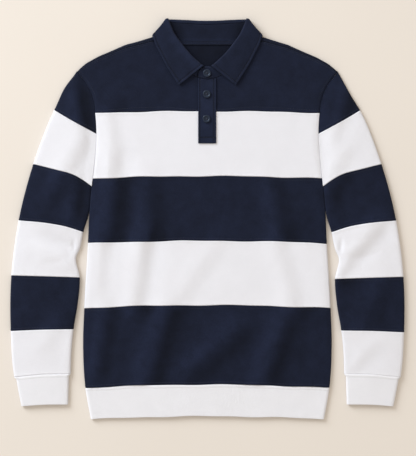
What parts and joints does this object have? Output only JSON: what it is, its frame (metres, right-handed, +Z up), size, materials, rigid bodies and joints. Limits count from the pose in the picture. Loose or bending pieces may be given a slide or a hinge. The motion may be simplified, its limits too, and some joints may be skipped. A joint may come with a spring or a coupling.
{
  "type": "long-sleeve polo shirt",
  "caption": "Long-sleeve polo shirt in broad navy and white blocks with a folded collar, buttoned placket, ribbed hem and cuffs, laid flat front side up.",
  "frame": {"origin": "centre of the flat outline, on the surface the shirt lies on", "axes": "+X to the viewer's right, +Y from the hem to the collar, +Z up from the surface, out of the shirt's front"},
  "size_m": [0.7482, 0.762, 0.0146],
  "materials": {
    "navy_cloth": "navy cotton knit, matt",
    "white_cloth": "white cotton knit, matt",
    "white_rib": "white rib knit, matt",
    "navy_collar": "navy woven cotton, matt",
    "button_plastic": "navy plastic, satin"
  },
  "bodies": {
    "root": {"front_yoke_left": "navy_cloth", "front_yoke_right": "navy_cloth", "back_yoke": "navy_cloth", "front_band_2": "white_cloth", "back_band_2": "white_cloth", "front_band_3": "navy_cloth", "back_band_3": "navy_cloth", "front_band_4": "white_cloth", "back_band_4": "white_cloth", "front_band_5": "navy_cloth", "back_band_5": "navy_cloth", "hem_rib": "white_rib", "sleeve_left_band_1": "navy_cloth", "sleeve_left_band_2": "white_cloth", "sleeve_left_band_3": "navy_cloth", "sleeve_left_band_4": "white_cloth", "sleeve_left_band_5": "navy_cloth", "sleeve_left_band_6": "white_cloth", "cuff_left": "white_rib", "sleeve_right_band_1": "navy_cloth", "sleeve_right_band_2": "white_cloth", "sleeve_right_band_3": "navy_cloth", "sleeve_right_band_4": "white_cloth", "sleeve_right_band_5": "navy_cloth", "sleeve_right_band_6": "white_cloth", "cuff_right": "white_rib", "collar_fall": "navy_collar", "collar_stand": "navy_collar", "neck_tape": "navy_collar", "placket_under": "navy_cloth", "placket_upper": "navy_cloth", "button_1": "button_plastic", "button_2": "button_plastic", "button_3": "button_plastic"}
  },
  "joints": []
}
